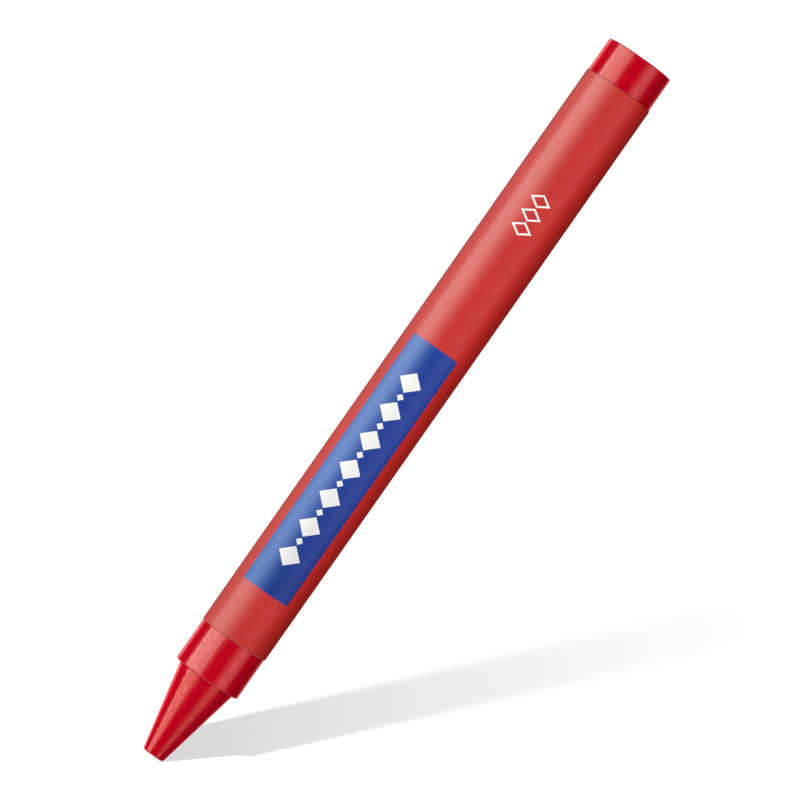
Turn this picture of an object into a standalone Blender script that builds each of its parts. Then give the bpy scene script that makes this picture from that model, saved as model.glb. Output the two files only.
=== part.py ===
"""Wax crayon: a cast stick of coloured wax in a pasted paper sleeve.

The crayon stands on its flat back end, on the plane z = 0, with its axis on +Z and its
writing tip at the top. The sleeve is one strip of paper, wound once round the stick and
lapped over its own starting edge at the back, +Y. Lengths are in metres.
"""

import math

import bmesh
import bpy
from mathutils import Vector

# Wax stick, from its back end to its tip
STICK_DIAMETER = 0.0078
BACK_BARE_LENGTH = 0.0040
SHOULDER_BARE_LENGTH = 0.0051
SHOULDER_STEP = 0.00055
CONE_LENGTH = 0.0099
TIP_DIAMETER = 0.0025
BACK_EDGE_RADIUS = 0.00015
SHOULDER_EDGE_RADIUS = 0.00015
TIP_EDGE_RADIUS = 0.0003

# Paper sleeve, which starts where the bare back of the stick ends
SLEEVE_LENGTH = 0.0710
PAPER_THICKNESS = 0.00007
LAP_WIDTH = 0.0050
LAP_CLIMB_WIDTH = 0.0010
LAP_DIRECTION = math.radians(90.0)

# Dried paste, under the sleeve and inside its lap
PASTE_THICKNESS = 0.00002
PASTE_CLEARANCE = 0.000005
PASTE_END_MARGIN = 0.0015
LAP_PASTE_SIDE_MARGIN = 0.0005

# Facets of the round faces
SIDES = 72
EDGE_STEPS = 3
SMOOTH_ANGLE = math.radians(30.0)
MERGE_DISTANCE = 0.000001

# Worked out from the sizes above
FACET_ANGLE = 2.0 * math.pi / SIDES
STICK_RADIUS = STICK_DIAMETER / 2.0
TIP_RADIUS = TIP_DIAMETER / 2.0
CONE_BASE_RADIUS = STICK_RADIUS - SHOULDER_STEP
SHOULDER_HEIGHT = BACK_BARE_LENGTH + SLEEVE_LENGTH + SHOULDER_BARE_LENGTH
TIP_HEIGHT = SHOULDER_HEIGHT + CONE_LENGTH
PASTE_ROOM = PASTE_THICKNESS + 2.0 * PASTE_CLEARANCE
SLEEVE_RADIUS = STICK_RADIUS + PASTE_ROOM
LAP_RISE = PAPER_THICKNESS + PASTE_ROOM
LAP_ANGLE = LAP_WIDTH / SLEEVE_RADIUS
LAP_CLIMB_ANGLE = LAP_CLIMB_WIDTH / SLEEVE_RADIUS
STRIP_START = LAP_DIRECTION - LAP_ANGLE / 2.0
STRIP_FULL_TURN = STRIP_START + 2.0 * math.pi
STRIP_END = STRIP_FULL_TURN + LAP_ANGLE
PASTE_LENGTH = SLEEVE_LENGTH - 2.0 * PASTE_END_MARGIN
PASTE_BASE = BACK_BARE_LENGTH + PASTE_END_MARGIN

# Colours as linear RGB
WAX_RED = (0.50, 0.004, 0.016)
PAPER_RED = (0.56, 0.045, 0.040)
PASTE_CREAM = (0.70, 0.62, 0.48)


def clear_scene():
    """Remove every object and every collection that the file holds."""
    for obj in list(bpy.data.objects):
        bpy.data.objects.remove(obj, do_unlink=True)
    for collection in list(bpy.data.collections):
        bpy.data.collections.remove(collection)


def make_material(name, colour, roughness, metallic=0.0):
    """Make a Principled material of one colour."""
    material = bpy.data.materials.new(name)
    material.use_nodes = True
    shader = material.node_tree.nodes["Principled BSDF"]
    shader.inputs["Base Color"].default_value = (*colour, 1.0)
    shader.inputs["Roughness"].default_value = roughness
    shader.inputs["Metallic"].default_value = metallic
    return material


def make_object(name, mesh, material, height, collection, parent):
    """Place a mesh on the crayon's axis, at a height, as a named part."""
    obj = bpy.data.objects.new(name, mesh)
    collection.objects.link(obj)
    obj.parent = parent
    obj.location = (0.0, 0.0, height)
    mesh.materials.append(material)
    return obj


def settle(obj):
    """Apply an object's modifiers and shade its round faces smooth."""
    depsgraph = bpy.context.evaluated_depsgraph_get()
    mesh = bpy.data.meshes.new_from_object(obj.evaluated_get(depsgraph))
    obj.modifiers.clear()
    obj.data = mesh
    mesh.shade_smooth()
    mesh.set_sharp_from_angle(angle=SMOOTH_ANGLE)


def rounded_corner(before, corner, after, radius):
    """Return the points of the arc that rounds one corner of a profile."""
    to_before = (before - corner).normalized()
    to_after = (after - corner).normalized()
    half_angle = to_before.angle(to_after) / 2.0
    inward = (to_before + to_after).normalized()
    centre = corner + inward * (radius / math.sin(half_angle))
    reach = radius / math.tan(half_angle)
    first = (corner + to_before * reach - centre).normalized()
    last = (corner + to_after * reach - centre).normalized()
    return [centre + radius * first.slerp(last, k / EDGE_STEPS) for k in range(EDGE_STEPS + 1)]


def turned_mesh(name, profile, closed):
    """Make the mesh of a profile, radius and height, for a Screw modifier to turn."""
    mesh = bpy.data.meshes.new(name)
    points = [(radius, 0.0, height) for radius, height in profile]
    edges = [(k, k + 1) for k in range(len(points) - 1)]
    if closed:
        edges.append((len(points) - 1, 0))
    mesh.from_pydata(points, edges, [])
    return mesh


def turn(obj):
    """Turn a profile once round Z."""
    screw = obj.modifiers.new("turned", "SCREW")
    screw.axis = "Z"
    screw.steps = SIDES
    screw.render_steps = SIDES
    screw.use_merge_vertices = True
    screw.merge_threshold = MERGE_DISTANCE


def ring_point(radius, angle, rise=0.0):
    """Return the point at an angle on a ring of SIDES flats, raised from it by rise."""
    half_facet = FACET_ANGLE / 2.0
    from_corner = angle % FACET_ANGLE
    distance = radius * math.cos(half_facet) / math.cos(from_corner - half_facet) + rise
    return Vector((distance * math.cos(angle), distance * math.sin(angle), 0.0))


def path_angles(start, end, others=()):
    """Return the angles of a path's points: its ends, the ring's corners and others."""
    first = math.ceil(start / FACET_ANGLE)
    last = math.floor(end / FACET_ANGLE)
    angles = [k * FACET_ANGLE for k in range(first, last + 1)]
    apart = FACET_ANGLE / SIDES
    for wanted in (start, end, *others):
        if all(abs(wanted - angle) > apart for angle in angles):
            angles.append(wanted)
    return sorted(angles)


def strip_rise(angle):
    """Return how far the paper stands off its first turn at an angle of its path."""
    share = (angle - STRIP_FULL_TURN + LAP_CLIMB_ANGLE) / LAP_CLIMB_ANGLE
    share = min(max(share, 0.0), 1.0)
    return LAP_RISE * share * share * (3.0 - 2.0 * share)


def wall_mesh(name, path, height):
    """Make the open wall that stands on a path, with its faces turned outwards."""
    build = bmesh.new()
    corners = [build.verts.new(point) for point in path]
    edges = [build.edges.new(pair) for pair in zip(corners, corners[1:])]
    grown = bmesh.ops.extrude_edge_only(build, edges=edges)["geom"]
    risen = [item for item in grown if isinstance(item, bmesh.types.BMVert)]
    bmesh.ops.translate(build, verts=risen, vec=(0.0, 0.0, height))
    build.normal_update()
    inward = [face for face in build.faces if face.normal.xy.dot(face.calc_center_median().xy) < 0.0]
    bmesh.ops.reverse_faces(build, faces=inward)
    mesh = bpy.data.meshes.new(name)
    build.to_mesh(mesh)
    build.free()
    return mesh


def thicken(obj, thickness):
    """Give an open wall its thickness, outwards."""
    solidify = obj.modifiers.new("thickness", "SOLIDIFY")
    solidify.thickness = thickness
    solidify.offset = 1.0
    solidify.use_even_offset = True


def make_wax_stick(collection, parent):
    """Turn the stick: flat back, straight body, stepped shoulder and blunt cone."""
    tip_centre = Vector((0.0, TIP_HEIGHT))
    tip_edge = Vector((TIP_RADIUS, TIP_HEIGHT))
    cone_base = Vector((CONE_BASE_RADIUS, SHOULDER_HEIGHT))
    shoulder_edge = Vector((STICK_RADIUS, SHOULDER_HEIGHT))
    back_edge = Vector((STICK_RADIUS, 0.0))
    back_centre = Vector((0.0, 0.0))
    profile = [tip_centre]
    profile += rounded_corner(tip_centre, tip_edge, cone_base, TIP_EDGE_RADIUS)
    profile += [cone_base]
    profile += rounded_corner(cone_base, shoulder_edge, back_edge, SHOULDER_EDGE_RADIUS)
    profile += rounded_corner(shoulder_edge, back_edge, back_centre, BACK_EDGE_RADIUS)
    profile += [back_centre]
    wax = make_material("coloured_wax", WAX_RED, 0.3)
    mesh = turned_mesh("wax_stick", profile, closed=False)
    stick = make_object("wax_stick", mesh, wax, 0.0, collection, parent)
    turn(stick)
    settle(stick)


def make_paper_sleeve(collection, parent):
    """Wind the strip of paper once round the stick, and over its starting edge."""
    angles = path_angles(STRIP_START, STRIP_END, (STRIP_FULL_TURN - LAP_CLIMB_ANGLE, STRIP_FULL_TURN))
    path = [ring_point(SLEEVE_RADIUS, angle, strip_rise(angle)) for angle in angles]
    paper = make_material("printed_paper", PAPER_RED, 0.55)
    mesh = wall_mesh("paper_sleeve", path, SLEEVE_LENGTH)
    sleeve = make_object("paper_sleeve", mesh, paper, BACK_BARE_LENGTH, collection, parent)
    thicken(sleeve, PAPER_THICKNESS)
    settle(sleeve)


def make_sleeve_paste(collection, parent, paste):
    """Turn the film of paste between the stick and the sleeve's first turn."""
    inner = STICK_RADIUS + PASTE_CLEARANCE
    outer = inner + PASTE_THICKNESS
    profile = [(outer, PASTE_LENGTH), (outer, 0.0), (inner, 0.0), (inner, PASTE_LENGTH)]
    mesh = turned_mesh("sleeve_paste", profile, closed=True)
    film = make_object("sleeve_paste", mesh, paste, PASTE_BASE, collection, parent)
    turn(film)
    settle(film)


def make_lap_paste(collection, parent, paste):
    """Lay the band of paste that holds the lap down on the first turn."""
    margin = LAP_PASTE_SIDE_MARGIN / SLEEVE_RADIUS
    rise = PAPER_THICKNESS + PASTE_CLEARANCE
    angles = path_angles(STRIP_START + margin, STRIP_START + LAP_ANGLE - margin)
    path = [ring_point(SLEEVE_RADIUS, angle, rise) for angle in angles]
    mesh = wall_mesh("lap_paste", path, PASTE_LENGTH)
    band = make_object("lap_paste", mesh, paste, PASTE_BASE, collection, parent)
    thicken(band, PASTE_THICKNESS)
    settle(band)


def main():
    """Build the crayon's pieces round one axis."""
    clear_scene()
    collection = bpy.data.collections.new("wax_crayon")
    bpy.context.scene.collection.children.link(collection)
    axis = bpy.data.objects.new("crayon_axis", None)
    collection.objects.link(axis)
    paste = make_material("dried_paste", PASTE_CREAM, 0.6)
    make_wax_stick(collection, axis)
    make_sleeve_paste(collection, axis, paste)
    make_paper_sleeve(collection, axis)
    make_lap_paste(collection, axis, paste)


main()
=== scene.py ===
"""The looks of the wax crayon: its wax, its printed paper sleeve, the studio and the camera.

The crayon stands in the frame with its back end on z = 0 and its tip up. The camera looks at it
along +Y, rolled so that the tip points down and to the left. Lengths are in metres.
"""

import logging
import math
from contextlib import contextmanager
from dataclasses import dataclass, replace
from enum import Enum
from typing import Callable, Iterator, Mapping

import bmesh
import bpy
from mathutils import Matrix, Vector


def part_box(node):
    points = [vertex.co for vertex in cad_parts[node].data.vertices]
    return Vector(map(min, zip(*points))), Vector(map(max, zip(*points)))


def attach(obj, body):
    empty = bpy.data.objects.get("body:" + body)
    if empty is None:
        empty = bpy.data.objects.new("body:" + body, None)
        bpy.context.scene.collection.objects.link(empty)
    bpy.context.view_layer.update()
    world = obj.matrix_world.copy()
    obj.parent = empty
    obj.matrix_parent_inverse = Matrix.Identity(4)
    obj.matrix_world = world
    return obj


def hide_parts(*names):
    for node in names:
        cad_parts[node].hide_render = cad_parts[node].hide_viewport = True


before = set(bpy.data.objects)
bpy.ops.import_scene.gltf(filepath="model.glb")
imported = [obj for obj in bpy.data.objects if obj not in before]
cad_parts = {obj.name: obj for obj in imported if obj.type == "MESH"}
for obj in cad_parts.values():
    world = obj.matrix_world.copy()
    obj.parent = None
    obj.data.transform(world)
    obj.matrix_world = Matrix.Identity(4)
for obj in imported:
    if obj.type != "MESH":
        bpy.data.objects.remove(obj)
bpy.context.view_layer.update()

LOG = logging.getLogger("wax_crayon")
BODY = "root"
MM = 0.001

# Places closer than this count as the same
TOUCH = 0.001 * MM

# The middle of a noise's values
MID_NOISE = 0.5

# Numbers of the Mix node's colour sockets, whose names other sockets share
MIX_FIRST = 6
MIX_SECOND = 7
MIX_RESULT = 2

# What a strip lamp of radiance 1 sends out, in watts for each square metre
STRIP_POWER = 4.0

Colour = tuple[float, float, float]
AngleLevels = tuple[tuple[float, float], ...]
Inputs = Mapping[str | int, object]


class Ink(Enum):
    """The printer's inks, as linear colours, and a paler blue that paints the panel's highlight."""

    RED = (0.505, 0.0190, 0.0150)
    BLUE = (0.010, 0.043, 0.318)
    # A paler blue for the panel's lit side: a painted highlight, not an ink of its own
    PALE_BLUE = (0.003, 0.089, 0.346)
    WHITE = (0.80, 0.80, 0.79)


class Piece(Enum):
    """The pieces that this script makes, by name."""

    STICK = "wax_stick_cast"
    SLEEVE = "paper_sleeve_wound"


class Slot(Enum):
    """The record's material slots that these pieces fill."""

    WAX = "coloured_wax"
    PAPER = "printed_paper"


class Kind(Enum):
    """The kinds of socket on a node group."""

    VALUE = "NodeSocketFloat"
    VECTOR = "NodeSocketVector"


class Grain(Enum):
    """The two grains of a surface, in the order of their group's outputs."""

    FINE = "Fine"
    BROAD = "Broad"


class Element(Enum):
    """The elements of a mesh that can be picked, by the name of their list."""

    VERT = "verts"
    EDGE = "edges"
    FACE = "faces"


def arithmetic(operation: str) -> Callable[["Value", object], "Value"]:
    """Return the method that does one operation on a value and another."""
    return lambda value, other: value.graph.math(operation, value, other)


class Value:
    """A value in a shader tree, so that sums of values read as plain arithmetic."""

    __add__ = arithmetic("ADD")
    __sub__ = arithmetic("SUBTRACT")
    __mul__ = arithmetic("MULTIPLY")
    __truediv__ = arithmetic("DIVIDE")

    def __init__(self, graph: "Graph", socket: bpy.types.NodeSocket) -> None:
        """Keep the graph, and the socket that gives the value."""
        self.graph = graph
        self.socket = socket

    def __rsub__(self, other: object) -> "Value":
        """Return a difference from a number."""
        return self.graph.math("SUBTRACT", other, self)

    def __abs__(self) -> "Value":
        """Return the value without its sign."""
        return self.graph.math("ABSOLUTE", self)

    def clamped(self) -> "Value":
        """Hold the value between 0 and 1, and return it."""
        self.socket.node.use_clamp = True
        return self


class Graph:
    """A shader tree under construction, with short calls for the nodes that are used here."""

    def __init__(self, tree: bpy.types.NodeTree) -> None:
        """Keep the tree that nodes are added to."""
        self.tree = tree

    def node(self, kind: str, **settings: object) -> bpy.types.Node:
        """Add a node.

        Args:
            kind: The node's type name in Blender.
            settings: Properties to set on it.

        Returns:
            The new node.
        """
        made = self.tree.nodes.new(kind)
        for name, value in settings.items():
            setattr(made, name, value)
        return made

    def feed(self, node: bpy.types.Node, inputs: Inputs) -> bpy.types.Node:
        """Feed a node: link the inputs that get a value of the tree, and set the others.

        A tuple is a colour, and gets full alpha.

        Args:
            node: The node.
            inputs: What its inputs get, by name or by number.

        Returns:
            The same node.
        """
        for key, given in inputs.items():
            if isinstance(given, Value):
                self.tree.links.new(given.socket, node.inputs[key])
            else:
                node.inputs[key].default_value = (*given, 1.0) if isinstance(given, tuple) else given
        return node

    def value(self, kind: str, output: str | int, inputs: Inputs, **settings: object) -> Value:
        """Add a node, feed it and return one of its outputs."""
        made = self.feed(self.node(kind, **settings), inputs)
        return Value(self, made.outputs[output])

    def values(self, kind: str, inputs: Inputs, **settings: object) -> list[Value]:
        """Add a node, feed it and return all its outputs."""
        made = self.feed(self.node(kind, **settings), inputs)
        return [Value(self, socket) for socket in made.outputs]

    def math(self, operation: str, first: object, second: object = 0.0) -> Value:
        """Return a Math node's value."""
        return self.value("ShaderNodeMath", 0, {0: first, 1: second}, operation=operation)

    def smooth_range(self, value: Value, low: object, high: object) -> Value:
        """Return 0 below low and 1 above high, with a smooth rise between them."""
        inputs = {"Value": value, "From Min": low, "From Max": high}
        return self.value("ShaderNodeMapRange", "Result", inputs, interpolation_type="SMOOTHSTEP")

    def noise(self, vector: Value, scale: object, detail: float) -> Value:
        """Return a Noise Texture's value, from 0 to 1."""
        return self.value("ShaderNodeTexNoise", "Fac", {"Vector": vector, "Scale": scale, "Detail": detail})

    def mix(self, share: Value, first: object, second: object) -> Value:
        """Return a mix of two colours, with the second one's share."""
        inputs = {"Factor": share, MIX_FIRST: first, MIX_SECOND: second}
        return self.value("ShaderNodeMix", MIX_RESULT, inputs, data_type="RGBA")

    def scale(self, colour: Value, factor: Value) -> Value:
        """Return a colour times a factor."""
        return self.value("ShaderNodeVectorMath", 0, {0: colour, "Scale": factor}, operation="SCALE")

    def bump(self, height: Value, depth: float, **under: Value) -> Value:
        """Return the normal of bumps of a depth, over another Normal if one is given."""
        return self.value("ShaderNodeBump", "Normal", {"Distance": depth, "Height": height, **under})

    def blend(self, share: Value, first: Value, second: Value) -> Value:
        """Return a blend of two shaders, with the second one's share."""
        return self.value("ShaderNodeMixShader", 0, {0: share, 1: first, 2: second})

    def place(self) -> Value:
        """Return the place on the object, in its own coordinates."""
        return self.value("ShaderNodeTexCoord", "Object", {})

    def parts(self, vector: Value) -> list[Value]:
        """Return a vector's three coordinates."""
        return self.values("ShaderNodeSeparateXYZ", {"Vector": vector})


class Effects:
    """The shader node groups that the crayon's materials share, each built once."""

    # How much detail the fine grain's noise has, and the broad one's
    grain_details: tuple[float, float] = (3.0, 2.0)

    def __init__(self) -> None:
        """Build every group."""
        self.wrap = self._wrap()
        self.grain = self._grain()
        self.band = self._band()
        self.lozenges = self._lozenges()

    @staticmethod
    def _start(
        name: str, inputs: Mapping[str, Kind], outputs: tuple[str, ...]
    ) -> tuple[Graph, list[Value], bpy.types.Node]:
        """Begin a group.

        Args:
            name: The group's name.
            inputs: The kinds of its inputs, by name.
            outputs: The names of its value outputs.

        Returns:
            The graph to add to, the inputs' values in order, and the output node.
        """
        graph = Graph(bpy.data.node_groups.new(name, "ShaderNodeTree"))
        for label, kind in inputs.items():
            graph.tree.interface.new_socket(label, in_out="INPUT", socket_type=kind.value)
        for label in outputs:
            graph.tree.interface.new_socket(label, in_out="OUTPUT", socket_type=Kind.VALUE.value)
        entry = graph.node("NodeGroupInput")
        given = [Value(graph, entry.outputs[label]) for label in inputs]
        return graph, given, graph.node("NodeGroupOutput")

    def _wrap(self) -> bpy.types.NodeTree:
        """Give places on the crayon by arc length from -Y, towards +X, and by height.

        Returns:
            The group.
        """
        kinds = {"Place": Kind.VECTOR, "Radius": Kind.VALUE}
        graph, (place, radius), leave = self._start("round_the_stick", kinds, ("Across", "Along"))
        x, y, z = graph.parts(place)
        graph.feed(leave, {"Across": graph.math("ARCTAN2", x, y * -1.0) * radius, "Along": z})
        return graph.tree

    def _grain(self) -> bpy.types.NodeTree:
        """Give a fine grain, and a broad drift of tone, both about 0.

        Returns:
            The group.
        """
        names = tuple(grain.value for grain in Grain)
        kinds = {"Place": Kind.VECTOR} | dict.fromkeys(names, Kind.VALUE)
        graph, (place, *scales), leave = self._start("grain", kinds, names)
        for name, scale, detail in zip(names, scales, self.grain_details):
            graph.feed(leave, {name: graph.noise(place, scale, detail) - MID_NOISE})
        return graph.tree

    def _band(self) -> bpy.types.NodeTree:
        """Mask a soft band of a half width about a place on a line.

        Returns:
            The group.
        """
        kinds = dict.fromkeys(("Along", "Place", "Half Width", "Softness"), Kind.VALUE)
        graph, (along, place, half, soft), leave = self._start("soft_band", kinds, ("Mask",))
        graph.feed(leave, {"Mask": 1.0 - graph.smooth_range(abs(along - place), half - soft, half + soft)})
        return graph.tree

    def _lozenges(self) -> bpy.types.NodeTree:
        """Give how far a place is inside a row of lozenges: 1 at a middle, 0 at an edge.

        Returns:
            The group.
        """
        kinds = dict.fromkeys(("Across", "Along", "Pitch", "Half Length", "Half Height"), Kind.VALUE)
        graph, given, leave = self._start("lozenge_row", kinds, ("Inside",))
        across, along, pitch, half_length, half_height = given
        half_pitch = pitch * 0.5
        turns = graph.math("FLOORED_MODULO", along + half_pitch, pitch)
        reach = abs(turns - half_pitch) / half_length + abs(across) / half_height
        graph.feed(leave, {"Inside": 1.0 - reach})
        return graph.tree


@dataclass(frozen=True)
class LozengeRow:
    """A printed row of lozenges along the crayon."""

    count: int
    pitch: float
    half_length: float
    half_height: float


class Surface(Graph):
    """The graph of one material with a Principled shader, and the shared effects in it."""

    def __init__(self, name: str, effects: Effects) -> None:
        """Make the material.

        Args:
            name: The material's name.
            effects: The shared node groups.
        """
        self.material = bpy.data.materials.new(name)
        self.material.use_nodes = True
        super().__init__(self.material.node_tree)
        self.effects = effects
        self.here = self.place()

    def group(self, tree: bpy.types.NodeTree, inputs: Inputs) -> list[Value]:
        """Place a node group and return its outputs."""
        return self.values("ShaderNodeGroup", inputs, node_tree=tree)

    def wrap(self, radius: float) -> list[Value]:
        """Return the arc length round the crayon, and the height."""
        return self.group(self.effects.wrap, {"Place": self.here, "Radius": radius})

    def grain(self, fine: float, broad: float) -> list[Value]:
        """Return a fine grain and a broad drift of tone, both about 0."""
        return self.group(self.effects.grain, {"Place": self.here, "Fine": fine, "Broad": broad})

    def band(self, along: Value, place: float, half: float, soft: float) -> Value:
        """Return the mask of a soft band, of a half width, about a place on a line."""
        inputs = {"Along": along, "Place": place, "Half Width": half, "Softness": soft}
        return self.group(self.effects.band, inputs)[0]

    def lozenges(self, across: Value, along: Value, row: LozengeRow) -> Value:
        """Return how far a place is inside a row of lozenges without end."""
        sizes = {"Pitch": row.pitch, "Half Length": row.half_length, "Half Height": row.half_height}
        return self.group(self.effects.lozenges, {"Across": across, "Along": along, **sizes})[0]

    def finish(self, inputs: Inputs) -> bpy.types.Material:
        """Feed the shader and return the material."""
        self.feed(self.tree.nodes["Principled BSDF"], inputs)
        return self.material


@dataclass(frozen=True)
class ByPart:
    """A level at the stick's back end, one at its shoulder and one on its cone."""

    back: float
    shoulder: float
    cone: float

    def level(self, forward: Value, on_cone: Value) -> Value:
        """Return the level, by how far forward a place is on the body and whether it is on the cone."""
        body = forward * (self.shoulder - self.back) + self.back
        return body + on_cone * (self.cone - self.shoulder)


@dataclass(frozen=True)
class WaxFinish:
    """Pigmented wax: satin, a little cloudy, with marks of turning that are strongest on its cone."""

    colour: Colour = (0.392, 0.0003, 0.0090)
    cloudy: Colour = (0.410, 0.0010, 0.0118)
    cloud_level: float = 0.4
    cloud_broad: float = 1.6
    cloud_fine: float = 0.6
    roughness: float = 0.17
    specular: float = 0.70
    tint: Colour = (1.0, 0.51, 0.38)
    index: float = 1.55
    coat: ByPart = ByPart(back=0.5, shoulder=0.64, cone=-0.45)
    sheen: float = 0.35
    sheen_roughness: float = 0.3
    sheen_tint: Colour = (1.0, 0.16, 0.18)
    # Painted rim highlight: a paler red where the wax is seen edge-on
    rim_highlight_colour: Colour = (0.70, 0.002, 0.018)
    rim_highlight_from: float = 0.50
    rim_highlight_to: float = 0.75
    fine_grain: float = 4200.0
    broad_grain: float = 260.0
    grain_depth: float = 0.0008 * MM
    grain_roughness: float = 0.10
    marks: ByPart = ByPart(back=1.3, shoulder=1.8, cone=7.4)
    marks_scale: float = 5800.0
    marks_stretch: float = 0.16
    marks_detail: float = 2.0
    marks_depth: float = 0.002 * MM
    marks_tone: float = 0.12
    # Painted shade: a dark line on the wax just in front of the sleeve's front edge
    shade_line_half: float = 0.06 * MM
    shade_line_soft: float = 0.04 * MM
    painted_shade_colour: Colour = (0.20, 0.006, 0.010)
    painted_shade_strength: float = 0.8
    shade_line_roughness: float = 0.7
    # Painted highlight: a paler colour along the shoulder's rounded edge
    edge_highlight_colour: Colour = (0.62, 0.120, 0.140)
    edge_highlight_strength: float = 0.12
    rubbed_roughness: float = 0.25

    # The rubbed line, in shares of the shoulder's rounded edge: duller wax, with a paler colour that is a
    # painted highlight
    rubbed_highlight_back: float = 0.5
    rubbed_highlight_half: float = 0.4
    rubbed_highlight_soft: float = 0.2

    def material(self, effects: Effects, shape: "WaxStick", wrapped: float) -> bpy.types.Material:
        """Make the wax, with a painted shade line in front of the sleeve and a rubbed line with a painted
        highlight on the shoulder's edge.

        Args:
            effects: The shared node groups.
            shape: The stick.
            wrapped: The height of the sleeve's front edge.

        Returns:
            The material.
        """
        wax = Surface("coloured_wax", effects)
        fine, broad = wax.grain(self.fine_grain, self.broad_grain)
        across, along = wax.wrap(shape.radius)
        forward = wax.smooth_range(along, 0.0, shape.shoulder)
        on_cone = wax.smooth_range(along, shape.shoulder - TOUCH, shape.shoulder + TOUCH)
        # Painted shade: the dark line on the wax just in front of the sleeve
        painted_shade_line = wax.band(along, wrapped + self.shade_line_half, self.shade_line_half, self.shade_line_soft)
        painted_shade_line = painted_shade_line * self.painted_shade_strength
        edge = shape.shoulder_edge
        worn_highlight = shape.shoulder - self.rubbed_highlight_back * edge
        rubbed_highlight = wax.band(along, worn_highlight, self.rubbed_highlight_half * edge, self.rubbed_highlight_soft * edge)
        turned = wax.value("ShaderNodeCombineXYZ", 0, {"Y": across * self.marks_stretch, "Z": along})
        marks = wax.noise(turned, self.marks_scale, self.marks_detail) - MID_NOISE
        cut = marks * self.marks.level(forward, on_cone)

        tone = (broad * self.cloud_broad + fine * self.cloud_fine + self.cloud_level).clamped()
        colour = wax.mix(tone, self.colour, self.cloudy)
        # Painted rim highlight: the colour turns a paler red towards the silhouette
        facing = wax.value("ShaderNodeLayerWeight", "Facing", {})
        painted_rim_highlight = wax.smooth_range(facing, self.rim_highlight_from, self.rim_highlight_to)
        colour = wax.mix(painted_rim_highlight, colour, self.rim_highlight_colour)
        colour = wax.scale(colour, cut * self.marks_tone + 1.0)
        # The rubbed line's paler colour is a painted highlight along the shoulder's edge
        colour = wax.mix(rubbed_highlight * self.edge_highlight_strength, colour, self.edge_highlight_colour)
        rough = fine * self.grain_roughness + self.roughness + painted_shade_line * self.shade_line_roughness
        coat = (self.coat.level(forward, on_cone) + cut).clamped()
        return wax.finish({
            "Base Color": wax.mix(painted_shade_line, colour, self.painted_shade_colour),
            "Roughness": rough + rubbed_highlight * self.rubbed_roughness,
            "Coat Weight": coat * (1.0 - rubbed_highlight) * (1.0 - painted_shade_line),
            "Normal": wax.bump(fine, self.grain_depth, Normal=wax.bump(marks, self.marks_depth)),
            "Specular IOR Level": self.specular,
            "Specular Tint": self.tint,
            "IOR": self.index,
            "Coat Roughness": self.roughness,
            "Sheen Weight": self.sheen,
            "Sheen Roughness": self.sheen_roughness,
            "Sheen Tint": self.sheen_tint,
        })


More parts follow.
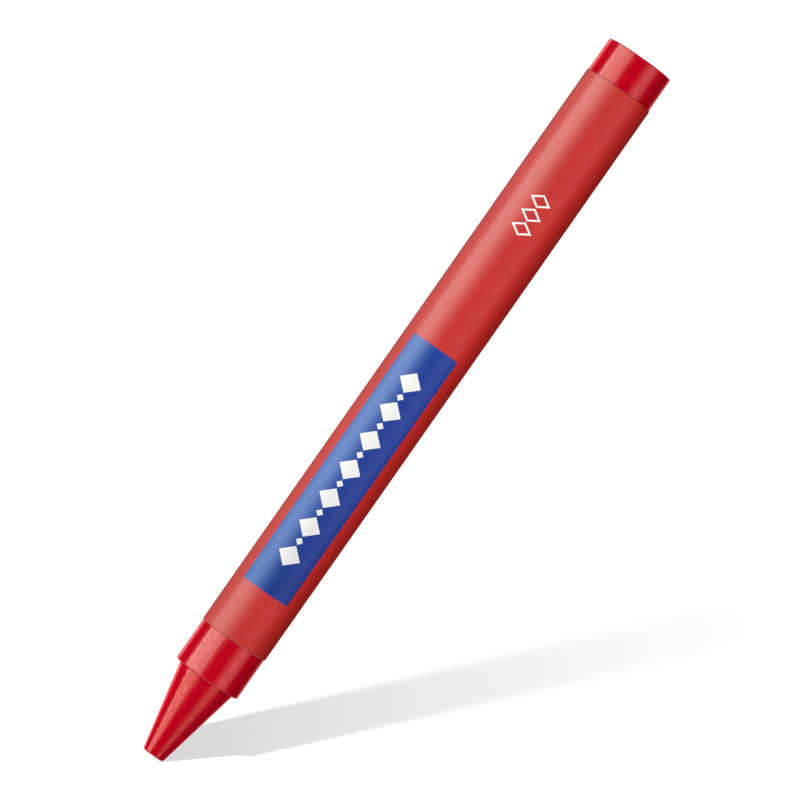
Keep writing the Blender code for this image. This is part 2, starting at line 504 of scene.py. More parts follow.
@dataclass(frozen=True)
class PrintedPaperFinish:
    """Red printed paper: a blue panel with a row of white lozenges, and outlined ones behind it."""

    roughness: float = 0.55
    specular: float = 0.75
    tint: Colour = (1.0, 1.0, 0.85)
    index: float = 1.5
    coat: float = 1.0
    coat_worn: float = 0.28
    coat_roughness: float = 0.2
    # The paper turns darker and less glossy towards its front edge, the panel more so away from its lit side
    front_darkening_from: float = 30.0 * MM
    front_darkening_paper: float = 0.06
    front_darkening_panel: float = 0.16
    front_coat_loss: float = 0.2
    lit_side_coat: float = 0.16
    edge_half: float = 0.06 * MM
    edge_soft: float = 0.03 * MM
    # A pale line on the sleeve's front edge: worn ink, and a painted highlight
    worn_highlight_colour: Colour = (0.75, 0.42, 0.40)
    worn_highlight_strength: float = 0.18
    # Painted shade: a dark line along the sleeve's back edge
    painted_shade_colour: Colour = (0.12, 0.006, 0.006)
    painted_shade_strength: float = 0.85
    shade_line_roughness: float = 0.4
    ink_sheen: float = 0.2
    ink_smoothing: float = 0.13
    ink_softness: float = 0.025 * MM
    fibre: float = 3600.0
    fibre_tone: float = 0.10
    fibre_roughness: float = 0.12
    fibre_depth: float = 0.003 * MM
    drift: float = 170.0
    drift_tone: float = 0.16
    wander: float = 90.0
    wander_detail: float = 1.0
    wander_depth: float = 0.05 * MM
    panel_turn: float = math.radians(3.93)
    panel_half_angle: float = math.radians(43.92)
    panel_low: float = 37.44 * MM
    panel_high: float = 68.87 * MM
    row: LozengeRow = LozengeRow(count=7, pitch=3.7 * MM, half_length=1.25 * MM, half_height=1.35 * MM)
    dot_half: float = 0.42 * MM
    outlined: LozengeRow = LozengeRow(count=3, pitch=1.75 * MM, half_length=0.80 * MM, half_height=1.28 * MM)
    outlined_place: float = 20.3 * MM
    outline: float = 0.30

    # Where the panel's blue starts to turn paler towards its lit side, a painted highlight, in half widths of
    # the panel
    lit_side_from: float = -0.4

    @property
    def panel_middle(self) -> float:
        """The height of the panel's middle."""
        return (self.panel_low + self.panel_high) / 2.0

    def material(self, effects: Effects, radius: float, low: float, high: float) -> bpy.types.Material:
        """Make the printed paper, with a painted shade line on its back edge and a pale line on its front
        edge that is wear and painted highlight.

        Args:
            effects: The shared node groups.
            radius: The sleeve's outer radius.
            low: The height of the sleeve's back edge.
            high: The height of its front edge.

        Returns:
            The material.
        """
        paper = Surface("printed_paper", effects)
        fine, broad = paper.grain(self.fibre, self.drift)
        across, along = paper.wrap(radius)
        turn, reach = self.panel_turn * radius, self.panel_half_angle * radius
        half_height = (self.panel_high - self.panel_low) / 2.0
        wide = paper.band(across, turn, reach, self.ink_softness)
        panel = wide * paper.band(along, self.panel_middle, half_height, self.ink_softness)
        white = self._white(paper, across, along, turn)
        # Painted highlight: the panel's blue turns paler towards its lit side
        lit_side = paper.smooth_range(across, self.lit_side_from * reach, reach)
        # Darker towards the front edge, more so on the panel away from its lit side
        toward_front = paper.smooth_range(along, high - self.front_darkening_from, high)
        # The front edge's pale line: partly worn ink, partly a painted highlight
        worn_highlight = paper.band(along, high, self.edge_half, self.edge_soft) * self.worn_highlight_strength
        # Painted shade: the dark line along the sleeve's back edge
        painted_shade_line = paper.band(along, low, self.edge_half, self.edge_soft) * self.painted_shade_strength

        # The panel's blue, painted paler towards its lit side
        blue = paper.mix(lit_side, Ink.BLUE.value, Ink.PALE_BLUE.value)
        colour = paper.mix(panel, Ink.RED.value, blue)
        colour = paper.mix(white, colour, Ink.WHITE.value)
        depth = panel * (1.0 - lit_side) * self.front_darkening_panel + self.front_darkening_paper
        tone = broad * self.drift_tone + 1.0 + fine * self.fibre_tone - toward_front * depth
        colour = paper.mix(worn_highlight, paper.scale(colour, tone), self.worn_highlight_colour)
        rough = fine * self.fibre_roughness + self.roughness - panel * self.ink_smoothing
        dulled = toward_front * self.front_coat_loss + lit_side * self.lit_side_coat
        handled = paper.smooth_range(along, low, high) * self.coat_worn + panel * dulled
        wander = paper.bump(paper.noise(paper.here, self.wander, self.wander_detail), self.wander_depth)
        return paper.finish({
            "Base Color": paper.mix(painted_shade_line, colour, self.painted_shade_colour),
            "Roughness": rough + painted_shade_line * self.shade_line_roughness,
            "Metallic": panel * (1.0 - white) * self.ink_sheen,
            "Coat Weight": (self.coat - handled) * (1.0 - painted_shade_line),
            "Normal": paper.bump(fine, self.fibre_depth, Normal=wander),
            "Specular IOR Level": self.specular,
            "Specular Tint": self.tint,
            "IOR": self.index,
            "Coat Roughness": self.coat_roughness,
        })

    def _white(self, paper: Surface, across: Value, along: Value, turn: float) -> Value:
        """Mask the white print: filled lozenges and dots on the panel, and outlined ones behind it.

        Args:
            paper: The paper's graph.
            across: The arc length round the sleeve.
            along: The height.
            turn: The arc length at the panel's middle.

        Returns:
            The mask.
        """
        row, outlined = self.row, self.outlined
        from_middle = across - turn
        on_row = along - self.panel_middle
        dots = replace(row, half_length=self.dot_half, half_height=self.dot_half)
        lozenge = paper.lozenges(from_middle, on_row, row)
        dot = paper.lozenges(from_middle, on_row + row.pitch / 2.0, dots)
        filled = paper.math("MAXIMUM", *(paper.math("GREATER_THAN", shape, 0.0) for shape in (lozenge, dot)))
        row_half = row.pitch * (row.count - 1) / 2.0 + row.half_length
        filled = filled * paper.band(on_row, 0.0, row_half, TOUCH)
        at_outlined = along - self.outlined_place
        inside = paper.lozenges(across, at_outlined, outlined)
        line = paper.math("GREATER_THAN", inside, 0.0) * paper.math("LESS_THAN", inside, self.outline)
        line = line * paper.band(at_outlined, 0.0, outlined.pitch * outlined.count / 2.0, self.ink_softness)
        return paper.math("MAXIMUM", filled, line)


@dataclass(frozen=True)
class GrainyFinish:
    """A matte stuff whose colour follows one of its grains, and whose roughness the other."""

    name: str
    first: Colour
    second: Colour
    roughness: float
    fine_grain: float
    broad_grain: float
    coloured_by: Grain
    roughened_by: Grain
    roughness_range: float = 0.2

    def material(self, effects: Effects) -> bpy.types.Material:
        """Make the stuff.

        Args:
            effects: The shared node groups.

        Returns:
            The material.
        """
        stuff = Surface(self.name, effects)
        grains = dict(zip(Grain, stuff.grain(self.fine_grain, self.broad_grain)))
        tone = grains[self.coloured_by] + MID_NOISE
        return stuff.finish({
            "Base Color": stuff.mix(tone, self.first, self.second),
            "Roughness": grains[self.roughened_by] * self.roughness_range + self.roughness,
        })


# The unprinted core of the paper, on its inner face and its cut edges
BARE_PAPER = GrainyFinish(
    "bare_paper", first=(0.62, 0.52, 0.48), second=(0.80, 0.74, 0.70), roughness=0.85,
    fine_grain=9000.0, broad_grain=1125.0, coloured_by=Grain.FINE, roughened_by=Grain.BROAD,
)

# Dried starch paste, cream and slightly clouded
PASTE = GrainyFinish(
    "dried_paste", first=(0.70, 0.62, 0.48), second=(0.56, 0.47, 0.34), roughness=0.6,
    fine_grain=4000.0, broad_grain=500.0, coloured_by=Grain.BROAD, roughened_by=Grain.FINE,
)


def deselect() -> None:
    """Leave nothing selected, in object mode."""
    bpy.ops.object.select_all(action="DESELECT")


def make_active(piece: bpy.types.Object) -> None:
    """Select one piece alone, as the active one.

    Args:
        piece: The piece.
    """
    deselect()
    bpy.context.view_layer.objects.active = piece
    piece.select_set(True)


@contextmanager
def editing(piece: bpy.types.Object) -> Iterator[None]:
    """Work on one piece in edit mode.

    Args:
        piece: The piece.

    Returns:
        The context, which ends back in object mode.
    """
    make_active(piece)
    bpy.ops.object.mode_set(mode="EDIT")
    yield
    bpy.ops.object.mode_set(mode="OBJECT")


def pick(piece: bpy.types.Object, kind: Element, wanted: Callable[[object], bool]) -> None:
    """Select the elements of a mesh in edit mode that a test wants.

    Args:
        piece: The piece in edit mode.
        kind: The elements to pick from.
        wanted: The test, which takes the element.
    """
    bpy.ops.mesh.select_mode(type=kind.name)
    bpy.ops.mesh.select_all(action="DESELECT")
    mesh = bmesh.from_edit_mesh(piece.data)
    for element in getattr(mesh, kind.value):
        element.select_set(wanted(element))
    mesh.select_flush_mode()
    bmesh.update_edit_mesh(piece.data)


def on_ring(edge: bmesh.types.BMEdge, radius: float, height: float) -> bool:
    """Tell whether an edge lies on a ring about Z of that radius and height."""
    return all(abs(v.co.z - height) < TOUCH and abs(v.co.xy.length - radius) < TOUCH for v in edge.verts)


def faces_inwards(face: bmesh.types.BMFace) -> bool:
    """Tell whether a face is turned towards the Z axis."""
    return face.normal.xy.dot(face.calc_center_median().xy) < 0.0


def shade(piece: bpy.types.Object, degrees: float) -> None:
    """Shade a piece smooth, but for edges sharper than an angle."""
    make_active(piece)
    bpy.ops.object.shade_smooth_by_angle(angle=math.radians(degrees))


@dataclass
class WaxStick:
    """The cast stick: flat back, straight body, stepped shoulder and blunt cone."""

    radius: float
    height: float
    cone_length: float = 9.9 * MM
    shoulder_step: float = 0.55 * MM
    tip_radius: float = 1.25 * MM
    back_edge: float = 0.15 * MM
    shoulder_edge: float = 0.18 * MM
    tip_edge: float = 0.18 * MM
    segments: int = 192
    edge_segments: int = 5
    body_cuts: int = 40
    cone_cuts: int = 40
    long_face: float = 1.0 * MM
    smooth_angle: float = 35.0

    @property
    def shoulder(self) -> float:
        """The height at which the cone starts."""
        return self.height - self.cone_length

    def build(self) -> bpy.types.Object:
        """Model the stick from a disc.

        Returns:
            The finished piece.
        """
        deselect()
        bpy.ops.mesh.primitive_circle_add(vertices=self.segments, radius=self.radius, fill_type="NGON")
        piece = bpy.context.object
        piece.name = Piece.STICK.value
        cone_base = self.radius - self.shoulder_step
        with editing(piece):
            bpy.ops.mesh.select_all(action="SELECT")
            self._raise(self.shoulder)
            bpy.ops.mesh.inset(thickness=self.shoulder_step)
            self._raise(self.cone_length)
            share = self.tip_radius / cone_base
            bpy.ops.transform.resize(value=(share, share, 1.0), center_override=(0.0, 0.0, self.height))
            self._round(piece, self.radius, 0.0, self.back_edge)
            self._round(piece, self.radius, self.shoulder, self.shoulder_edge)
            self._round(piece, self.tip_radius, self.height, self.tip_edge)
            self._ring_cuts(piece, self.body_cuts, on_cone=False)
            self._ring_cuts(piece, self.cone_cuts, on_cone=True)
            bpy.ops.mesh.select_all(action="SELECT")
            bpy.ops.mesh.normals_make_consistent(inside=False)
        shade(piece, self.smooth_angle)
        return piece

    @staticmethod
    def _raise(height: float) -> None:
        """Extrude the selected cap along the axis."""
        bpy.ops.mesh.extrude_region_move(TRANSFORM_OT_translate={"value": (0.0, 0.0, height)})

    def _round(self, piece: bpy.types.Object, radius: float, height: float, width: float) -> None:
        """Round the edge on one ring."""
        pick(piece, Element.EDGE, lambda edge: on_ring(edge, radius, height))
        bpy.ops.mesh.bevel(offset=width, offset_type="OFFSET", segments=self.edge_segments, profile=0.5)

    def _is_long(self, edge: bmesh.types.BMEdge, on_cone: bool) -> bool:
        """Tell whether an edge runs along a long face, of the cone or else of the body."""
        low, high = sorted(v.co.z for v in edge.verts)
        return high - low > self.long_face and (low >= self.shoulder if on_cone else high < self.shoulder)

    def _ring_cuts(self, piece: bpy.types.Object, cuts: int, on_cone: bool) -> None:
        """Cut rings across the long faces of the cone, or else of the body."""
        pick(piece, Element.EDGE, lambda edge: self._is_long(edge, on_cone))
        bpy.ops.mesh.subdivide(number_cuts=cuts)

    def dress(self, piece: bpy.types.Object, effects: Effects, wrapped: float) -> None:
        """Give the stick its wax, and put it in place of the solid.

        Args:
            piece: The stick.
            effects: The shared node groups.
            wrapped: The height of the sleeve's front edge.
        """
        piece.data.materials.append(WaxFinish().material(effects, self, wrapped))
        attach(piece, BODY)
        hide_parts("wax_stick")


@dataclass
class PaperSleeve:
    """The strip of paper, wound once round the stick and lapped over its starting edge."""

    stick_radius: float
    outer_radius: float
    low: float
    high: float
    thickness: float = 0.07 * MM
    lap_width: float = 5.0 * MM
    lap_climb: float = 1.0 * MM
    lap_direction: float = math.radians(90.0)
    turn_steps: int = 220
    climb_steps: int = 8
    lap_steps: int = 44
    edge_press: float = 0.022 * MM
    edge_rings: tuple[float, ...] = (0.05 * MM, 0.10 * MM, 0.16 * MM)
    wall_cuts: int = 60
    smooth_angle: float = 50.0

    @property
    def inner_radius(self) -> float:
        """The radius of the paper's inner face."""
        return self.outer_radius - self.thickness

    @property
    def lap_angle(self) -> float:
        """The angle that the lap takes."""
        return self.lap_width / self.inner_radius

    @property
    def climb_angle(self) -> float:
        """The angle that the climb over the starting edge takes."""
        return self.lap_climb / self.inner_radius

    @property
    def start(self) -> float:
        """The starting edge's direction from the axis."""
        return self.lap_direction - self.lap_angle / 2.0

    def build(self) -> bpy.types.Object:
        """Wind the strip from its upright starting edge.

        Returns:
            The finished piece.
        """
        deselect()
        bpy.ops.mesh.primitive_plane_add(size=2.0)
        piece = bpy.context.object
        piece.name = Piece.SLEEVE.value
        with editing(piece):
            self._starting_edge(piece)
            self._spin(self.turn_steps, 2.0 * math.pi - self.climb_angle)
            climb = [self._climb_point(step / self.climb_steps) for step in range(self.climb_steps + 1)]
            for here, there in zip(climb, climb[1:]):
                bpy.ops.mesh.extrude_region_move(TRANSFORM_OT_translate={"value": there - here})
            self._spin(self.lap_steps, self.lap_angle)
        self._press_edges(piece)
        self._thicken(piece)
        shade(piece, self.smooth_angle)
        return piece

    def _starting_edge(self, piece: bpy.types.Object) -> None:
        """Make the upright edge that the strip starts from, with rings for its pressed ends.

        Args:
            piece: The plane in edit mode, of which one side is left over for the edge.
        """
        pick(piece, Element.VERT, lambda vert: vert.co.x < 0.0)
        bpy.ops.mesh.delete(type="VERT")
        mesh = bmesh.from_edit_mesh(piece.data)
        corner = Vector((math.cos(self.start), math.sin(self.start), 0.0)) * self.inner_radius
        for vert, height in zip(mesh.verts, (self.low, self.high)):
            vert.co = corner + Vector((0.0, 0.0, height))
        bmesh.update_edit_mesh(piece.data)
        bpy.ops.mesh.select_all(action="SELECT")
        bpy.ops.mesh.subdivide(number_cuts=self.wall_cuts)
        for ring in self.edge_rings:
            for height in (self.low + ring, self.high - ring):
                bpy.ops.mesh.select_all(action="SELECT")
                bpy.ops.mesh.bisect(plane_co=(0.0, 0.0, height), plane_no=(0.0, 0.0, 1.0))
        bpy.ops.mesh.select_all(action="SELECT")

    @staticmethod
    def _spin(steps: int, angle: float) -> None:
        """Sweep the selected edge round the axis."""
        bpy.ops.mesh.spin(steps=steps, angle=-angle, center=(0.0, 0.0, 0.0), axis=(0.0, 0.0, 1.0))

    def _climb_point(self, share: float) -> Vector:
        """Find a place on the paper's climb over its starting edge.

        Args:
            share: The share of the climb that lies behind the place.

        Returns:
            The place, at height 0.
        """
        rise = (self.outer_radius - self.stick_radius) * share * share * (3.0 - 2.0 * share)
        radius = self.inner_radius + rise
        angle = self.start + 2.0 * math.pi - self.climb_angle + self.climb_angle * share
        return Vector((radius * math.cos(angle), radius * math.sin(angle), 0.0))

    def _press_edges(self, piece: bpy.types.Object) -> None:
        """Press the sleeve's back and front edges down towards the wax.

        Args:
            piece: The sleeve, before it has its thickness.
        """
        depths = (0.0, *self.edge_rings)
        with editing(piece):
            for depth in depths[:-1]:
                share = 1.0 - depth / depths[-1]
                factor = 1.0 - self.edge_press * share * share / self.inner_radius
                levels = (self.low + depth, self.high - depth)
                pick(piece, Element.VERT, lambda vert: min(abs(vert.co.z - z) for z in levels) < TOUCH)
                bpy.ops.transform.resize(value=(factor, factor, 1.0), center_override=(0.0, 0.0, 0.0))

    def _thicken(self, piece: bpy.types.Object) -> None:
        """Give the strip its thickness, outwards, with a second material inside and on its cut edges.

        Args:
            piece: The sleeve.
        """
        with editing(piece):
            pick(piece, Element.FACE, faces_inwards)
            bpy.ops.mesh.flip_normals()
        for _ in range(2):
            piece.data.materials.append(None)
        wall = piece.modifiers.new("thickness", "SOLIDIFY")
        wall.thickness = self.thickness
        wall.offset = 1.0
        wall.use_even_offset = True
        wall.material_offset = 1
        wall.material_offset_rim = 1
        make_active(piece)
        bpy.ops.object.modifier_apply(modifier=wall.name)

    def dress(self, piece: bpy.types.Object, effects: Effects) -> None:
        """Give the sleeve its print and its bare paper, and put it in place of the solid.

        Args:
            piece: The sleeve.
            effects: The shared node groups.
        """
        printed = PrintedPaperFinish().material(effects, self.outer_radius, self.low, self.high)
        piece.data.materials[0] = printed
        piece.data.materials[1] = BARE_PAPER.material(effects)
        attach(piece, BODY)
        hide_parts("paper_sleeve")


def add_object(name: str, data: bpy.types.ID) -> bpy.types.Object:
    """Make an object in the scene.

    Args:
        name: Its name.
        data: Its camera or light.

    Returns:
        The object.
    """
    made = bpy.data.objects.new(name, data)
    bpy.context.scene.collection.objects.link(made)
    return made


def pose(place: Vector, x: Vector, y: Vector, z: Vector) -> Matrix:
    """Return the matrix that puts an object at a place, with its axes along x, y and z."""
    return Matrix.Translation(place) @ Matrix((x, y, z)).transposed().to_4x4()


@dataclass(frozen=True)
class View:
    """The photograph's camera, in terms of the crayon's axis."""

    lean: float = math.radians(35.0)
    distance: float = 596.0 * MM
    foot_height: float = 41.4 * MM
    aim_height: float = 44.16 * MM
    aim_side: float = 0.138 * MM
    frame_width: float = 84.79 * MM
    sensor: float = 36.0
    clip_start: float = 0.01
    clip_end: float = 10.0

    @property
    def right(self) -> Vector:
        """The picture's right, in the frame."""
        return Vector((-math.cos(self.lean), 0.0, -math.sin(self.lean)))

    @property
    def up(self) -> Vector:
        """The picture's up, in the frame."""
        return Vector((math.sin(self.lean), 0.0, -math.cos(self.lean)))

    @property
    def towards(self) -> Vector:
        """The way from the crayon to the camera."""
        return Vector((0.0, -1.0, 0.0))

    def make_camera(self) -> None:
        """Make the camera and give it to the scene."""
        data = bpy.data.cameras.new("camera")
        data.sensor_width = self.sensor
        data.lens = self.sensor * self.distance / self.frame_width
        data.clip_start = self.clip_start
        data.clip_end = self.clip_end
        camera = add_object("camera", data)
        aim = Vector((self.aim_side, 0.0, self.aim_height))
        place = Vector((self.aim_side, 0.0, self.foot_height)) + self.towards * self.distance
        back = (place - aim).normalized()
        right = self.up.cross(back).normalized()
        camera.matrix_world = pose(place, right, back.cross(right), back)
        bpy.context.scene.camera = camera


class Shows(Enum):
    """How a lamp shows on the crayon: as light on its surface, mirrored in its gloss, or both."""

    SURFACE = "surface"
    GLOSS = "gloss"
    BOTH = "both"


@dataclass(frozen=True)
class Lamp:
    """A strip lamp beside the crayon, along its axis and turned to face it.

    The angle goes round the crayon from the camera, towards the picture's right. The tilt
    raises the lamp along the crayon's axis, towards the tip, and the shift slides it that way.
    """

    name: str
    angle: float
    radiance: float
    shows: Shows = Shows.BOTH
    spread: float = 10.0
    length: float = 0.6
    tilt: float = 0.0
    distance: float = 0.45
    shift: float = 0.0
    colour: Colour = (1.0, 1.0, 1.0)

    def make(self, middle: float) -> bpy.types.Object:
        """Make the lamp.

        Args:
            middle: The height of the point that it faces.

        Returns:
            The lamp's object.
        """
        width = 2.0 * self.distance * math.tan(math.radians(self.spread) / 2.0)
        data = bpy.data.lights.new(self.name, "AREA")
        data.shape = "RECTANGLE"
        data.size = width
        data.size_y = self.length
        data.color = self.colour
        data.energy = self.radiance * STRIP_POWER * width * self.length
        turn = math.radians(self.angle)
        tilt = math.radians(self.tilt)
        level = Vector((-math.sin(turn), -math.cos(turn), 0.0))
        out = level * math.cos(tilt) + Vector((0.0, 0.0, math.sin(tilt)))
        side = Vector((0.0, 0.0, 1.0)).cross(level).normalized()
        place = out * self.distance + Vector((0.0, 0.0, middle + self.shift))
        lamp = add_object(self.name, data)
        lamp.matrix_world = pose(place, side, out.cross(side), out)
        lamp.visible_camera = False
        lamp.visible_diffuse = self.shows is not Shows.GLOSS
        lamp.visible_glossy = self.shows is not Shows.SURFACE
        data.cycles.use_multiple_importance_sampling = self.shows is not Shows.SURFACE
        return lamp


@dataclass(frozen=True)
class Bank:
    """A row of strip lamps, each beside the one before it, and longer than a plain one by beyond."""

    name: str
    first: float
    levels: tuple[float, ...]
    step: float = 10.0
    beyond: float = 0.0
    colour: Colour = (1.0, 1.0, 1.0)

    def lamps(self) -> list[Lamp]:
        """List the bank's strips, which end alike behind the crayon's back end."""
        size = {"spread": self.step, "length": Lamp.length + self.beyond, "shift": self.beyond / 2.0}
        return [
            Lamp(f"{self.name}_{place}", self.first + self.step * place, level, colour=self.colour, **size)
            for place, level in enumerate(self.levels)
        ]


@dataclass(frozen=True)
class LampSet:
    """The lamps of one stuff: banks that show in its gloss, and lamps that only light its surface.

    The soft lamps are as far off as the banks. The near ones are thin, close to the crayon, and
    hang between two heights. Both are listed by angle and radiance.
    """

    name: str
    banks: tuple[Bank, ...]
    soft: AngleLevels
    near: AngleLevels
    reach: tuple[float, float]
    soft_length: float = 0.5
    near_distance: float = 10.0 * MM

    def lamps(self, middle: float) -> list[Lamp]:
        """List all the lamps.

        Args:
            middle: The height of the point that they face.

        Returns:
            The lamps.
        """
        low, high = self.reach
        far = {"length": self.soft_length}
        close = {"length": high - low, "distance": self.near_distance, "shift": (low + high) / 2.0 - middle}
        lamps = [lamp for bank in self.banks for lamp in bank.lamps()]
        for kind, levels, placing in (("soft", self.soft, far), ("near", self.near, close)):
            for angle, level in levels:
                name = f"{self.name}_{kind}_{angle:.0f}"
                lamps.append(Lamp(name, angle, level, Shows.SURFACE, **placing))
        return lamps


# The stick's lamps, with broad banks on its left, a narrower one on its right and dim ones behind
WAX_LAMPS = LampSet(
    "wax",
    banks=(
        Bank("wax_left_outer", -86.5, (2.3,), step=3.0, beyond=-0.2),
        Bank("wax_left", -80.0, (3.1, 2.5, 2.6, 2.4), beyond=0.2),
        Bank("wax_left_inner", -40.0, (2.0,), beyond=0.05),
        Bank("wax_left_edge", -30.0, (1.8, 0.3), beyond=-0.03),
        Bank("wax_right", 30.0, (0.25, 0.72, 1.00, 0.80, 0.36), beyond=0.1, colour=(1.20, 0.97, 1.0)),
        Bank("wax_behind_left", -150.0, (0.51, 0.31)),
        Bank("wax_behind_right", 160.0, (0.50,)),
    ),
    soft=((-150.0, 12.0), (-90.0, 4.5), (-30.0, 1.1), (150.0, 12.0)),
    near=((20.0, 1.7), (30.0, 2.6)),
    reach=(-10.0 * MM, 100.0 * MM),
)

# The sleeve's lamps, whose bank on its right is dimmer than the stick's
PAPER_LAMPS = LampSet(
    "paper",
    banks=(
        Bank("paper_left", -100.0, (0.31, 0.94, 2.12, 2.12, 2.12, 1.80, 1.47, 0.74, 0.37, 0.17)),
        Bank("paper_far_left", -125.0, (0.23,), step=40.0),
        Bank("paper_right", 0.0, (0.07, 0.06, 0.13, 0.26, 0.38, 0.37, 0.30, 0.14)),
        Bank("paper_behind", -160.0, (0.17,)),
    ),
    soft=((-150.0, 3.4), (-90.0, 4.6), (90.0, 1.3), (150.0, 17.0)),
    near=((-20.0, 1.4), (30.0, 4.4)),
    reach=(-8.0 * MM, 82.0 * MM),
)

# The lamps beyond the crayon's two ends
TIP_CARD = Lamp("tip_card", 0.0, 0.9, Shows.GLOSS, spread=40.0, length=0.33, tilt=89.9)
TIP_SOFT = replace(TIP_CARD, name="tip_soft", radiance=0.7, shows=Shows.SURFACE)
BACK_END_SOFT = replace(TIP_SOFT, name="back_end_soft", radiance=1.5, tilt=-TIP_SOFT.tilt)


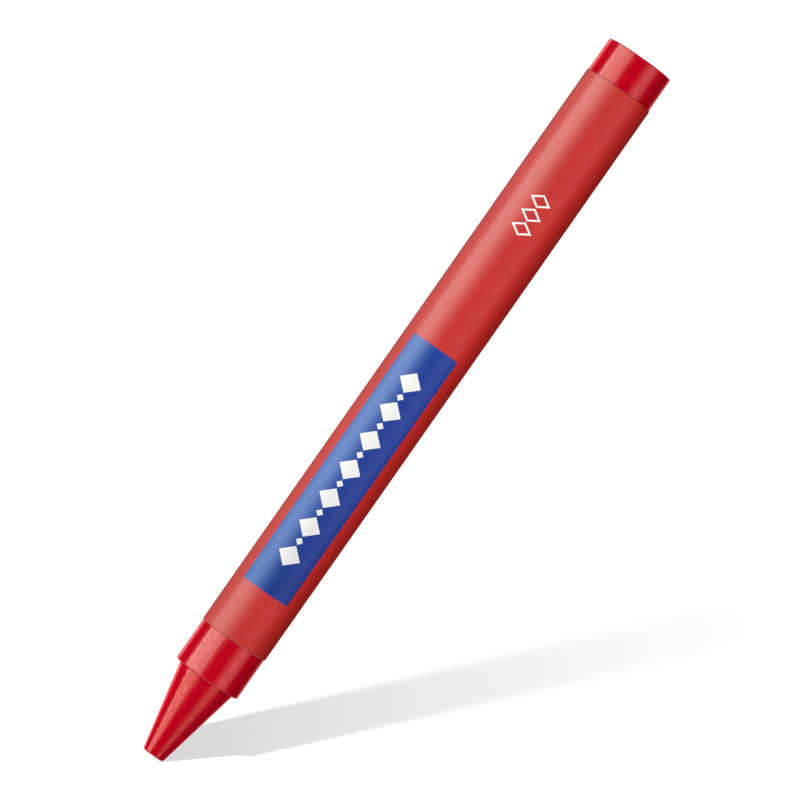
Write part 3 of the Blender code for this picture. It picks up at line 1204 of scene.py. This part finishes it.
@dataclass
class Studio:
    """The floor, the lamps and the world."""

    view: View
    middle: float
    white: float = 1.02
    floor_tilt: float = math.radians(10.07)
    floor_roll: float = math.radians(-19.79)
    floor_size: float = 4.0
    floor_glow: float = 0.682
    floor_shade: float = 0.05
    fade_start: float = 1.0 * MM
    fade_length: float = 83.0 * MM
    fade_power: float = 1.38
    shadow_run: float = 3.1
    shadow_beyond: tuple[float, float] = (45.0 * MM, 90.0 * MM)
    shadow_short: tuple[float, float] = (0.1 * MM, 0.4 * MM)
    shadow_lamp_distance: float = 595.0 * MM
    shadow_lamp_radius: float = 10.0 * MM
    shadow_lamp_power: float = 340.0

    # The way from the tip to the shadow's lamp: to the picture's right, up, and towards the camera
    shadow_lamp_way: tuple[float, float, float] = (-0.057, 0.425, 0.903)

    def build(self, stick: bpy.types.Object, wrapping: list[bpy.types.Object]) -> None:
        """Set up the world, the lamps and the floor under the tip.

        Args:
            stick: The wax stick.
            wrapping: The sleeve and its paste.
        """
        self._world()
        for lamps, lit in (
            (WAX_LAMPS.lamps(self.middle), self._lit("lit_wax", [stick])),
            (PAPER_LAMPS.lamps(self.middle), self._lit("lit_paper", wrapping)),
            ([TIP_CARD, TIP_SOFT, BACK_END_SOFT], self._lit("lit_ends", [stick, *wrapping])),
        ):
            for lamp in lamps:
                lamp.make(self.middle).light_linking.receiver_collection = lit
        self._floor(stick)
        bpy.context.scene.view_settings.view_transform = "Standard"

    @staticmethod
    def _lit(name: str, objects: list[bpy.types.Object]) -> bpy.types.Collection:
        """Gather objects that some lamps light, and light alone.

        Args:
            name: The collection's name.
            objects: The objects.

        Returns:
            The collection.
        """
        group = bpy.data.collections.new(name)
        for lit in objects:
            group.objects.link(lit)
        return group

    def _world(self) -> None:
        """Make the world white to the camera and dark to the crayon, which the lamps light."""
        world = bpy.data.worlds.new("studio")
        bpy.context.scene.world = world
        world.use_nodes = True
        graph = Graph(world.node_tree)
        rays = [graph.value("ShaderNodeLightPath", f"Is {ray} Ray", {}) for ray in ("Camera", "Transmission")]
        strength = graph.math("MAXIMUM", *rays) * self.white
        graph.feed(world.node_tree.nodes["Background"], {"Color": (1.0, 1.0, 1.0), "Strength": strength})

    def _floor(self, standing: bpy.types.Object) -> None:
        """Lay the floor under the tip, turned as in the photograph, and light the shadow on it.

        Args:
            standing: The piece whose lowest point the floor touches.
        """
        tilt, roll = self.floor_tilt, self.floor_roll
        wide = self.view.right * math.cos(roll) + self.view.up * math.sin(roll)
        rise = self.view.up * math.cos(roll) - self.view.right * math.sin(roll)
        normal = rise * math.cos(tilt) + self.view.towards * math.sin(tilt)
        deep = rise * math.sin(tilt) - self.view.towards * math.cos(tilt)
        lowest = min((v.co for v in standing.data.vertices), key=normal.dot)
        deselect()
        bpy.ops.mesh.primitive_plane_add(size=self.floor_size)
        floor = bpy.context.object
        floor.name = "floor"
        floor.matrix_world = pose(lowest, wide, deep, normal)
        floor.data.materials.append(self._floor_material())
        for ray in ("diffuse", "glossy", "transmission", "shadow"):
            setattr(floor, f"visible_{ray}", False)
        self._shadow_lamp(lowest).light_linking.receiver_collection = self._lit("lit_floor", [floor])

    def _shadow_lamp(self, tip: Vector) -> bpy.types.Object:
        """Hang the small lamp whose shadow of the crayon lies on the floor.

        Args:
            tip: The point that the crayon stands on.

        Returns:
            The lamp's object.
        """
        right, up, towards = self.shadow_lamp_way
        way = self.view.right * right + self.view.up * up + self.view.towards * towards
        data = bpy.data.lights.new("shadow_lamp", "POINT")
        data.energy = self.shadow_lamp_power
        data.shadow_soft_size = self.shadow_lamp_radius
        lamp = add_object("shadow_lamp", data)
        lamp.location = tip + way * self.shadow_lamp_distance
        return lamp

    def _floor_material(self) -> bpy.types.Material:
        """Make the white floor, which holds the shadow near the tip and is clear from below.

        Returns:
            The material.
        """
        material = bpy.data.materials.new("floor")
        material.use_nodes = True
        material.node_tree.nodes.clear()
        graph = Graph(material.node_tree)
        glow = graph.value("ShaderNodeEmission", 0, {"Strength": self.floor_glow})
        matte = graph.value("ShaderNodeBsdfDiffuse", 0, {"Color": (self.floor_shade,) * 3})
        lit = graph.value("ShaderNodeAddShader", 0, {0: glow, 1: matte})
        white = graph.value("ShaderNodeEmission", 0, {"Strength": self.white})
        below = graph.value("ShaderNodeNewGeometry", "Backfacing", {})
        clear = graph.value("ShaderNodeBsdfTransparent", 0, {})
        one_sided = graph.blend(below, graph.blend(self._fade(graph), lit, white), clear)
        graph.feed(graph.node("ShaderNodeOutputMaterial"), {"Surface": one_sided})
        return material

    def _fade(self, graph: Graph) -> Value:
        """Fade the floor to white to the right of the tip, to its left and far behind.

        Args:
            graph: The floor's graph.

        Returns:
            The share of plain white, which is 1 where no shadow is left.
        """
        wide, deep, _ = graph.parts(graph.place())
        leaning = -math.sin(self.floor_roll) * math.sin(self.floor_tilt)
        across = wide * math.cos(self.floor_roll) + deep * leaning
        gone = ((across - self.fade_start) / self.fade_length).clamped()
        kept = graph.math("POWER", 1.0 - gone, self.fade_power)
        beyond = graph.smooth_range(deep - across * self.shadow_run, *self.shadow_beyond)
        short = graph.smooth_range(across * -1.0, *self.shadow_short)
        return graph.math("MAXIMUM", 1.0 - kept, graph.math("MAXIMUM", beyond, short))


def main() -> None:
    """Build the crayon's pieces, dress them and set up the studio."""
    logging.basicConfig(level=logging.INFO, format="%(name)s: %(message)s")
    effects = Effects()
    stick_low, stick_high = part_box("wax_stick")
    sleeve_low, sleeve_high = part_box("paper_sleeve")

    stick = WaxStick(radius=stick_high.x, height=stick_high.z)
    stick_piece = stick.build()
    stick.dress(stick_piece, effects, sleeve_high.z)
    LOG.info("%s: %d faces", stick_piece.name, len(stick_piece.data.polygons))

    sleeve = PaperSleeve(stick_high.x, sleeve_high.x, sleeve_low.z, sleeve_high.z)
    sleeve_piece = sleeve.build()
    sleeve.dress(sleeve_piece, effects)
    LOG.info("%s: %d faces", sleeve_piece.name, len(sleeve_piece.data.polygons))

    paste = PASTE.material(effects)
    films = [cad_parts[name] for name in ("sleeve_paste", "lap_paste")]
    for film in films:
        film.data.materials.clear()
        film.data.materials.append(paste)
        LOG.info("%s: kept, with a new finish", film.name)

    view = View()
    view.make_camera()
    studio = Studio(view, (stick_low.z + stick_high.z) / 2.0)
    studio.build(stick_piece, [sleeve_piece, *films])


if __name__ == "__main__":
    main()
